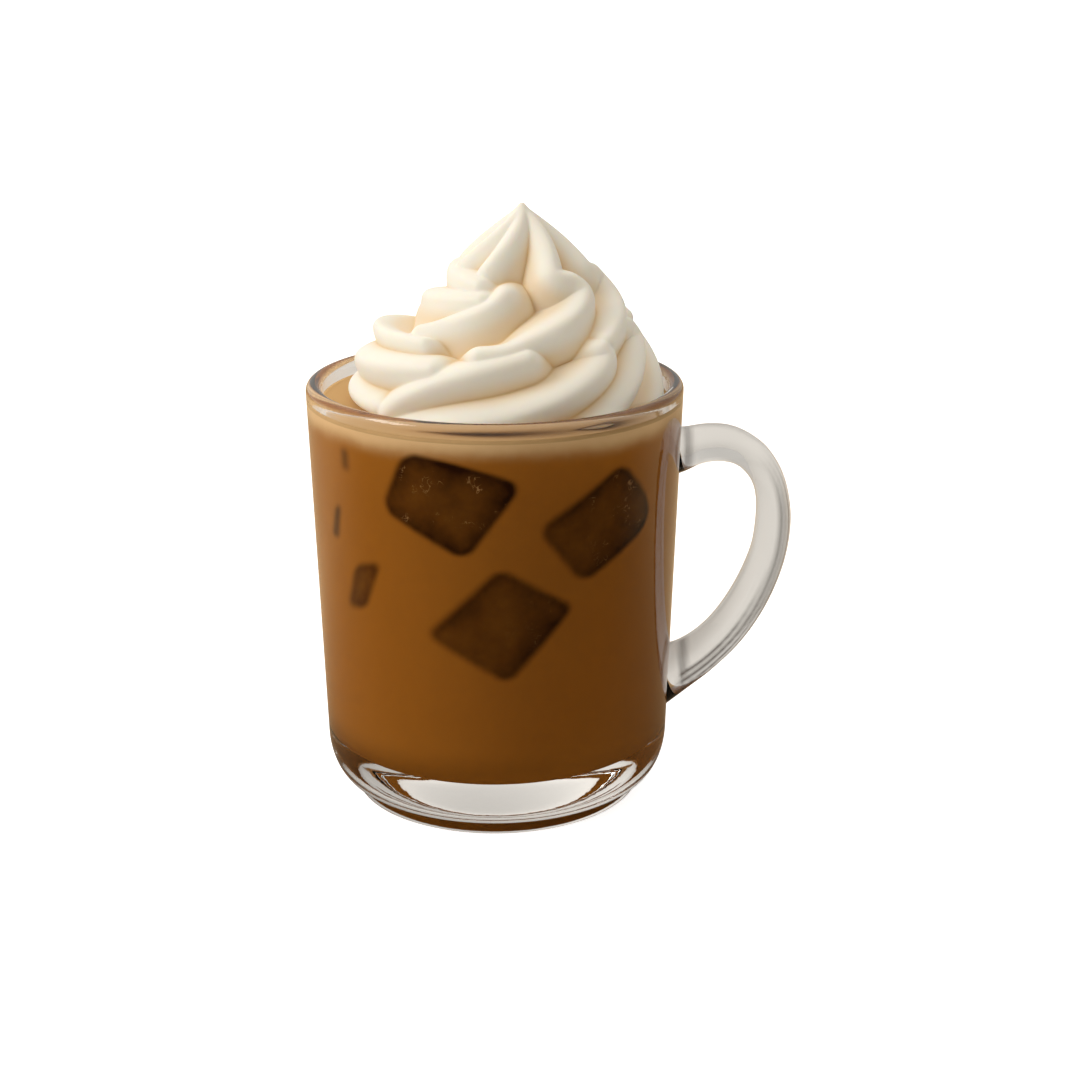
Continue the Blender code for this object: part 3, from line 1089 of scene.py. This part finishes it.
@dataclass
class Coffee:
    """The drink, reaching just into the glass, with its ice cubes."""

    form: MugForm
    level: float
    segments: int = 400
    wall_rows: int = 170
    corner_steps: int = 16
    reach_into_glass: float = 0.15
    meniscus: float = 0.7
    meniscus_width: float = 6.0
    meniscus_fall: float = 5.0
    meniscus_rows: int = 14
    wall_gap: float = 0.4
    floor_share: float = 0.5
    level_shares: tuple = (0.6, 0.3)
    ice_below_level: float = 0.5
    film_fade: float = 3.6
    cubes: tuple[IceCube, ...] = (
        IceCube(((-36.0, 75.7), (-8.0, 66.0), (9.6, 82.6), (-11.0, 88.0), (-27.5, 88.6)), 0.35, 0.01),
        IceCube(((14.0, 72.6), (29.0, 59.4), (57.0, 69.0), (58.0, 74.0), (43.5, 84.8)), 0.5, 0.03),
        IceCube(((-21.5, 48.6), (5.0, 38.2), (26.5, 54.6), (2.5, 64.4)), 0.9, 0.02, rounding=2.4),
        IceCube(((-61.5, 65.6), (-57.5, 65.6), (-55.5, 73.0), (-58.5, 72.6)), 0.8, rounding=1.0),
        IceCube(((-53.0, 82.2), (-50.0, 82.2), (-50.0, 86.4), (-53.0, 86.4)), 1.5, rounding=0.9),
        IceCube(((-54.0, 50.6), (-45.0, 51.4), (-37.5, 63.0), (-49.0, 61.0)), 0.9, 0.06, rounding=2.0),
        IceCube(((82.0, 58.0), (104.0, 50.0), (112.0, 68.0), (90.0, 74.0)), 0.8),
        IceCube(((115.0, 74.0), (140.0, 72.0), (143.0, 87.0), (119.0, 88.0)), 0.5),
        IceCube(((148.0, 40.0), (172.0, 41.0), (174.0, 58.0), (152.0, 56.0)), 1.2, 0.02),
        IceCube(((180.0, 70.0), (208.0, 64.0), (211.0, 80.0), (186.0, 84.0)), 0.4),
        IceCube(((226.0, 52.0), (250.0, 48.0), (256.0, 66.0), (230.0, 68.0)), 1.0, -0.02),
        IceCube(((252.0, 76.0), (272.0, 70.0), (276.0, 84.0), (254.0, 88.0)), 0.7),
    )

    def profile(self) -> np.ndarray:
        """Give the drink's profile: floor, corner, wall, the meniscus h exp(-k s), and the level.

        Returns:
            Rows of radius and height.
        """
        form, out = self.form, self.reach_into_glass
        corner = form.inner_corner(out, self.corner_steps)
        heights = np.linspace(corner[-1, 1], self.level - self.wall_gap, self.wall_rows + 1)[1:]
        wall = np.stack([form.inner_radius(heights) + out, heights], axis=1)
        edge = form.inner_radius(self.level)
        inwards = np.linspace(0.0, 1.0, self.meniscus_rows)
        climb = self.meniscus * (np.exp(-inwards * self.meniscus_fall) - math.exp(-self.meniscus_fall))
        top = np.stack([edge + out - inwards * self.meniscus_width, self.level + climb], axis=1)
        floor = np.array([[form.floor_radius * self.floor_share, form.floor_height - out]])
        inner = np.array([[edge * share, self.level] for share in self.level_shares])
        start, end = [[0.0, form.floor_height - out]], [[0.0, self.level]]
        return np.vstack([start, floor, corner, wall, top, inner, end])

    def ice_shade(self, points: np.ndarray) -> tuple[np.ndarray, np.ndarray]:
        """Work out how dark the ice makes each point of the drink's skin, and where its edges show.

        Args:
            points: points of the skin.

        Returns:
            0 where no ice shows, up to 1 where it touches the skin, and the same for its edges alone.
        """
        shades, edges = zip(*(cube.shade(points, self.skin(cube), self.film_fade) for cube in self.cubes))
        return np.max(shades, axis=0), np.max(edges, axis=0)

    def skin(self, cube: IceCube) -> float:
        """Give the drink's radius at a cube.

        Args:
            cube: the ice cube.

        Returns:
            The inner wall's radius at the cube's middle.
        """
        return self.form.inner_radius(cube.middle()[1])

    def build(self, drink: bpy.types.Material, ice: bpy.types.Material) -> None:
        """Make the drink and the ice in it.

        Args:
            drink: the drink's finish.
            ice: the ice's finish.
        """
        made = turned(self.profile(), self.segments)
        data = made.mesh("coffee_body")
        shade, edge = self.ice_shade(made.points)
        on_side = made.points[:, 2] < self.level - self.ice_below_level
        put_values(data, "ice_shade", shade * on_side)
        put_values(data, "ice_edge", edge * on_side)
        piece = add_piece("coffee_body", data, drink)
        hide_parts(Node.COFFEE.value)
        for number, cube in enumerate(self.cubes):
            data = cube.surface(self.skin(cube)).mesh("ice_cube")
            add_piece(f"ice_cube_{number + 1}", data, ice)


@dataclass
class WhippedCream:
    """The piped swirl: ridges on a leaning dome.

    The lower turn's ridges leave the drink one after another and climb ever steeper towards the handle. Flat
    ridges lie over each other on the side away from it. The upper turn's climb, curl back and reach the peak.

    A climbing ridge is a starting azimuth and height, the azimuths it runs between, and the curl at its end.
    A flat one is its height and rise per degree at the side, its azimuths and its breadth. The folds and the
    curling ridge are points of azimuth and height, and the curling turns are its turn and its heights.
    """

    foot: float
    height: float
    foot_radius: float = 35.2
    upper_narrowing: float = 0.13
    foot_shift: float = 2.5
    upper_shift: float = 3.6
    upper_turn: float = 18.8
    turn_blend: float = 1.0
    around: int = 360
    up: int = 240
    slope: float = 1.2
    rounding: float = 2.3
    softness: float = 0.2
    greatest_depth: float = 0.42
    crease_shade_width: float = 0.9
    crease_shade_from: float = 0.8
    crease_shade_full: float = 3.6
    hollow_shade_share: float = 0.45
    foot_tuck: float = 1.2
    foot_tuck_height: float = 1.6
    side: float = -90.0
    path_points: int = 12
    crest_samples: int = 70
    lowest_crest: float = -4.0
    grid_samples: int = 2000
    block: int = 12000
    hook_back: tuple = (-1.0, -5.0)
    hook_curl: tuple = (1.0, 1.3)
    steep_rise: float = 0.4
    steep_from: float = 0.0
    steep_blend: float = 18.0
    back_rise: float = 0.35
    back_from: float = -130.0
    back_blend: float = 15.0
    climbing: tuple = (
        (58.0, 8.1, 30.0, 77.0, 2.6), (100.0, 8.0, 70.0, 120.0, 2.6),
        (140.0, 8.0, 112.0, 160.0, 2.6), (180.0, 8.0, 152.0, 200.0, 2.6),
    )
    flat: tuple = (
        (3.2, -0.02, -135.0, -54.0, 1.0), (9.8, 0.05, -150.0, -30.0, 1.15),
        (17.2, 0.01, -150.0, -40.0, 0.85), (23.8, 0.03, -150.0, -28.0, 1.0),
        (30.2, -0.035, -150.0, -34.0, 1.0),
    )
    folds: tuple = (
        ((-48.0, 2.0), (-38.0, 6.4), (-26.0, 10.0), (-12.0, 12.8), (1.0, 14.7), (9.0, 15.8)),
        (
            (-46.0, -1.2), (-22.0, 1.2), (-2.0, 3.0), (10.0, 4.9),
            (22.0, 7.2), (37.0, 10.8), (46.0, 13.9), (45.5, 16.0),
        ),
    )
    fold_breadth: float = 1.1
    curling: tuple = (
        (-11.0, 16.7), (0.0, 17.3), (10.0, 19.2), (30.0, 22.0), (44.0, 24.8), (50.0, 26.9), (45.0, 28.9),
        (32.0, 29.9), (29.0, 31.2), (36.0, 34.5), (47.0, 38.2), (60.0, 41.5), (72.0, 42.8),
    )
    curling_turns: tuple = (
        (-62.0, 18.5, 27.5), (-62.0, 31.0, 43.0), (-98.0, 31.0, 43.0), (-142.0, 31.0, 43.0),
        (0.0, 16.5, 43.0), (50.0, 17.0, 43.0), (108.0, 17.0, 43.0), (168.0, 17.0, 43.0),
    )

    def upper_share(self, height: np.ndarray) -> np.ndarray:
        """Give how far a height belongs to the upper turn: 1 / (1 + exp((z0 - z) / w)).

        Args:
            height: heights above the foot.

        Returns:
            The shares, from 0 to 1.
        """
        return 1.0 / (1.0 + np.exp((self.upper_turn - height) / self.turn_blend))

    def axis(self, height: np.ndarray) -> np.ndarray:
        """Give the swirl's sideways place: it steps towards the handle between the two turns.

        Args:
            height: heights above the foot.

        Returns:
            The ways from the mug's axis.
        """
        return self.foot_shift + self.upper_shift * self.upper_share(height)

    def reach(self, height: np.ndarray) -> np.ndarray:
        """Give the radius of the dome that touches the crests: R (1 - (z/h)^2), narrower in the upper turn.

        Args:
            height: heights above the foot.

        Returns:
            The radii.
        """
        dome = 1.0 - np.clip(height / self.height, 0.0, 1.0) ** 2
        return self.foot_radius * dome * (1.0 - self.upper_narrowing * self.upper_share(height))

    def dome(self, azimuth: np.ndarray, height: np.ndarray) -> np.ndarray:
        """Give points of the dome.

        Args:
            azimuth: their azimuths in radians.
            height: their heights above the foot.

        Returns:
            The points as x, y, z.
        """
        radius = self.reach(height)
        across = self.axis(height) + radius * np.sin(azimuth)
        return np.stack([across, -radius * np.cos(azimuth), height], axis=-1)

    def normals(self, azimuth: np.ndarray, height: np.ndarray) -> np.ndarray:
        """Give the dome's outward unit normals.

        Args:
            azimuth: azimuths in radians.
            height: heights above the foot.

        Returns:
            The normals as x, y, z.
        """
        low = np.clip(height - 0.05, 0.0, self.height)
        high = np.clip(height + 0.05, 0.0, self.height)
        slope = (self.reach(high) - self.reach(low)) / (high - low)
        normal = np.stack([np.sin(azimuth), -np.cos(azimuth), -slope], axis=-1)
        return normal / np.linalg.norm(normal, axis=-1, keepdims=True)

    def climb(self, azimuth: np.ndarray) -> np.ndarray:
        """Give how high a climbing ridge has come at an azimuth: flat at the side, steep in front and behind.

        The climb is the sum of two soft ramps of the form rise * w * log(1 + exp((a - a0) / w)).

        Args:
            azimuth: azimuths in degrees.

        Returns:
            The climbs in millimetres.
        """
        front = np.logaddexp(0.0, (azimuth - self.steep_from) / self.steep_blend)
        back = np.logaddexp(0.0, (self.back_from - azimuth) / self.back_blend)
        return self.steep_rise * self.steep_blend * front - self.back_rise * self.back_blend * back

    def paths(self) -> list[tuple[np.ndarray, float]]:
        """Give the path of every crest.

        Returns:
            For each ridge, rows of azimuth and height, and the ridge's breadth.
        """
        paths = []
        for azimuth, height, start, end, curl in self.climbing:
            turns = np.linspace(start, end, self.path_points)
            heights = height + self.climb(turns) - self.climb(azimuth)
            path = np.stack([turns, heights], axis=1)
            hook = path[-1] + np.stack([self.hook_back, curl * np.array(self.hook_curl)], axis=1)
            paths.append((np.vstack([path, hook]), 1.0))
        for height, rise, start, end, breadth in self.flat:
            turns = np.linspace(start, end, self.path_points)
            back = np.logaddexp(0.0, (self.back_from - turns) / self.back_blend)
            heights = height + rise * (turns - self.side) - self.back_rise * self.back_blend * back
            paths.append((np.stack([turns, heights], axis=1), breadth))
        paths.extend((np.array(fold), self.fold_breadth) for fold in self.folds)
        for turn, least, most in self.curling_turns:
            path = np.array(self.curling) + np.array([turn, 0.0])
            paths.append((path[(path[:, 1] >= least) & (path[:, 1] <= most)], 1.0))
        return paths

    def crests(self) -> list[tuple[np.ndarray, float]]:
        """Give the crest line of every ridge.

        Returns:
            For each ridge, points on the dome, and the ridge's breadth.
        """
        lines = []
        for path, breadth in self.paths():
            sampled = smooth_path(path, self.crest_samples)
            heights = np.clip(sampled[:, 1], self.lowest_crest, self.height)
            lines.append((self.dome(np.radians(sampled[:, 0]), heights), breadth))
        return lines

    def distance_to_line(self, points: np.ndarray, line: np.ndarray) -> np.ndarray:
        """Give each point's shortest distance to a chain of short straight pieces.

        Args:
            points: the points, which are taken in blocks to save memory.
            line: the chain's points.

        Returns:
            The distances.
        """
        shortest = np.empty(len(points))
        for start in range(0, len(points), self.block):
            part = points[start:start + self.block]
            nearest = ((part[:, None, :] - line[None, :, :]) ** 2).sum(axis=2).argmin(axis=1)
            best = np.full(len(part), np.inf)
            for offset in (-1, 0):
                index = np.clip(nearest + offset, 0, len(line) - 2)
                piece = line[index + 1] - line[index]
                share = ((part - line[index]) * piece).sum(axis=1) / (piece**2).sum(axis=1)
                foot = line[index] + piece * np.clip(share, 0.0, 1.0)[:, None]
                best = np.minimum(best, np.linalg.norm(part - foot, axis=1))
            shortest[start:start + self.block] = best
        return shortest

    def relief(self, points: np.ndarray) -> tuple[np.ndarray, np.ndarray]:
        """Work out the surface's depth below the dome.

        Each ridge falls from its crest as a hyperbola, and where two ridges meet the higher one shows, joined
        by a soft maximum: k log(sum(exp(depth / k))).

        Args:
            points: points of the dome.

        Returns:
            The depth in millimetres, mostly negative, and the share of painted shade at each point, from 0 to
            1: most at a crease, some in every hollow.
        """
        depths = []
        for line, breadth in self.crests():
            distance = self.distance_to_line(points, line) / breadth
            depths.append(self.slope * (self.rounding - np.hypot(distance, self.rounding)))
        depths = np.stack(depths)
        highest = depths.max(axis=0)
        lead = highest - np.partition(depths, -2, axis=0)[-2]
        # painted shade: deep hollows and the creases between ridges get the golden crease colour
        hollow = smoothstep(self.crease_shade_from, self.crease_shade_full, -highest)
        near = hollow * (self.hollow_shade_share + (1.0 - self.hollow_shade_share) * np.exp(-lead / self.crease_shade_width))
        joined = self.softness * np.log(np.exp((depths - highest) / self.softness).sum(axis=0))
        return highest + joined, near

    def surface(self) -> tuple[Surface, np.ndarray]:
        """Make the swirl's surface on a grid of azimuth and arc length.

        Returns:
            The closed surface and, for each point, its share of painted crease shade from 0 to 1.
        """
        fine = np.linspace(0.0, self.height, self.grid_samples)
        length = np.concatenate([[0.0], np.cumsum(np.hypot(np.diff(fine), np.diff(self.reach(fine))))])
        rows = np.interp(np.linspace(0.0, length[-1], self.up + 1)[:-1], length, fine)
        turns = 2.0 * np.pi * np.arange(self.around) / self.around
        azimuth, height = (grid.ravel() for grid in np.meshgrid(turns, rows))
        points = self.dome(azimuth, height)
        relief, crease_shade = self.relief(points)
        depth = np.maximum(relief, -self.greatest_depth * self.reach(height))
        points += self.normals(azimuth, height) * depth[:, None]
        points[:, 2] = np.maximum(points[:, 2], 0.0)
        points[: self.around, 2] = 0.0
        tuck = self.foot_tuck * np.clip(1.0 - height / self.foot_tuck_height, 0.0, 1.0) ** 2
        points[:, 0] -= tuck * np.sin(azimuth)
        points[:, 1] += tuck * np.cos(azimuth)
        points[:, 2] += self.foot
        rings = points.reshape(self.up, self.around, 3)
        first = np.array([float(self.axis(np.array(0.0))), 0.0, self.foot])
        last = np.array([float(self.axis(np.array(self.height))), 0.0, self.foot + self.height])
        return closed_grid(rings, first, last), np.concatenate([crease_shade, [0.0, 0.0]])

    def build(self, material: bpy.types.Material) -> None:
        """Make the swirl.

        Args:
            material: its finish.
        """
        made, crease_shade = self.surface()
        data = made.mesh("cream_swirl")
        # painted shade in the creases, stored for the cream's material to read
        put_values(data, "crease_shade", crease_shade)
        piece = add_piece("cream_swirl", data, material)
        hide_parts(Node.CREAM.value)


@dataclass(frozen=True)
class Lamp:
    """One soft rectangular lamp."""

    name: str
    place: tuple
    aim: tuple
    size: tuple
    power: float
    tint: tuple

    def hang(self) -> None:
        """Hang the lamp, turned to what it lights."""
        data = bpy.data.lights.new(self.name, "AREA")
        data.shape = "RECTANGLE"
        data.size, data.size_y = self.size[0] * MM, self.size[1] * MM
        data.energy = self.power
        data.color = self.tint
        lamp = bpy.data.objects.new(self.name, data)
        lamp.location = Vector(self.place) * MM
        lamp.rotation_euler = (Vector(self.aim) - Vector(self.place)).to_track_quat("-Z", "Y").to_euler()
        bpy.context.scene.collection.objects.link(lamp)


@dataclass
class Studio:
    """A flat pale floor, one soft lamp, a softly lit room and the camera."""

    camera_place: tuple = (10.03, -420.38, 196.0)
    camera_pitch: float = 71.814
    lens: float = 64.43
    sensor: float = 36.0
    nearest_m: float = 0.01
    floor_half_width: float = 6000.0
    floor_front: float = -3000.0
    floor_back: float = 9000.0
    floor_gap: float = 0.05
    left_span: tuple = (-0.9, 0.1)
    back_span: tuple = (0.2, 0.9)
    above_span: tuple = (0.3, 0.9)
    right_span: tuple = (0.5, 1.0)
    room_left: float = 0.45
    room_back: float = 0.5
    room_above: float = 0.85
    room_least: float = 0.07
    room_right: float = 0.35
    room_tint: tuple = (1.0, 0.95, 0.88, 1.0)
    key: Lamp = Lamp(
        "key", (-700.0, -220.0, 620.0), (0.0, 0.0, 80.0), (380.0, 380.0), 2.9, (1.0, 0.99, 0.98)
    )

    def add_camera(self) -> None:
        """Put the camera where the photograph was taken."""
        data = bpy.data.cameras.new("camera")
        data.lens = self.lens
        data.sensor_width = self.sensor
        data.clip_start = self.nearest_m
        camera = bpy.data.objects.new("camera", data)
        camera.location = Vector(self.camera_place) * MM
        camera.rotation_euler = (math.radians(self.camera_pitch), 0.0, 0.0)
        bpy.context.scene.collection.objects.link(camera)
        bpy.context.scene.camera = camera

    def add_floor(self, material: bpy.types.Material) -> None:
        """Lay the floor, a wide sheet that reaches past everything the camera sees.

        Args:
            material: its finish.
        """
        side, front, back = self.floor_half_width, self.floor_front, self.floor_back
        corners = [(-side, front), (side, front), (side, back), (-side, back)]
        points = np.array([(across, along, -self.floor_gap) for across, along in corners])
        data = Surface(points, np.array([[0, 1, 2, 3]])).mesh("floor")
        data.materials.append(material)
        floor = bpy.data.objects.new("floor", data)
        bpy.context.scene.collection.objects.link(floor)

    def add_world(self) -> None:
        """Light the room: a bright left side, back and ceiling, and a dim front and right side."""
        world = bpy.data.worlds.new("studio")
        world.use_nodes = True
        bench = Bench(world.node_tree)
        way = bench.node("ShaderNodeTexCoord").outputs["Generated"]
        parts = bench.node("ShaderNodeSeparateXYZ", {0: way})
        left = bench.ramp(parts.outputs["X"], *self.left_span, self.room_left, 0.0)
        back = bench.ramp(parts.outputs["Y"], *self.back_span, 0.0, self.room_back)
        above = bench.ramp(parts.outputs["Z"], *self.above_span, 0.0, self.room_above)
        right = bench.ramp(parts.outputs["X"], *self.right_span, self.room_least, self.room_right)
        light = bench.math("ADD", bench.math("ADD", left, back), bench.math("ADD", above, right))
        background = bench.node("ShaderNodeBackground", {"Color": self.room_tint, "Strength": light})
        bench.node("ShaderNodeOutputWorld", {"Surface": background.outputs[0]})
        bpy.context.scene.world = world

    def build(self, floor: bpy.types.Material) -> None:
        """Set up camera, floor and light.

        Args:
            floor: the floor's finish.
        """
        self.add_camera()
        self.add_floor(floor)
        self.add_world()
        self.key.hang()
        bpy.context.scene.view_settings.view_transform = "Standard"


def main() -> None:
    """Build the drink piece by piece in its studio, sized from the CAD model's nodes."""
    logging.basicConfig(level=logging.INFO, format="%(message)s")
    low, high = node_corners(Node.MUG)
    level = float(node_corners(Node.COFFEE)[1][2])
    cream_low, cream_high = node_corners(Node.CREAM)
    form = MugForm(rim_radius=-float(low[0]), height=float(high[2]))
    mottle = mottle_group()
    Studio().build(FloorFinish("pale_floor", mottle).material())
    GlassMug(form).build(GlassFinish("clear_glass", mottle).material())
    drink, ice = CoffeeFinish("milky_coffee", mottle, level), IceFinish("ice", mottle)
    Coffee(form, level).build(drink.material(), ice.material())
    cream = WhippedCream(float(cream_low[2]), float(cream_high[2] - cream_low[2]))
    cream.build(CreamFinish("whipped_cream", mottle).material())


if __name__ == "__main__":
    main()
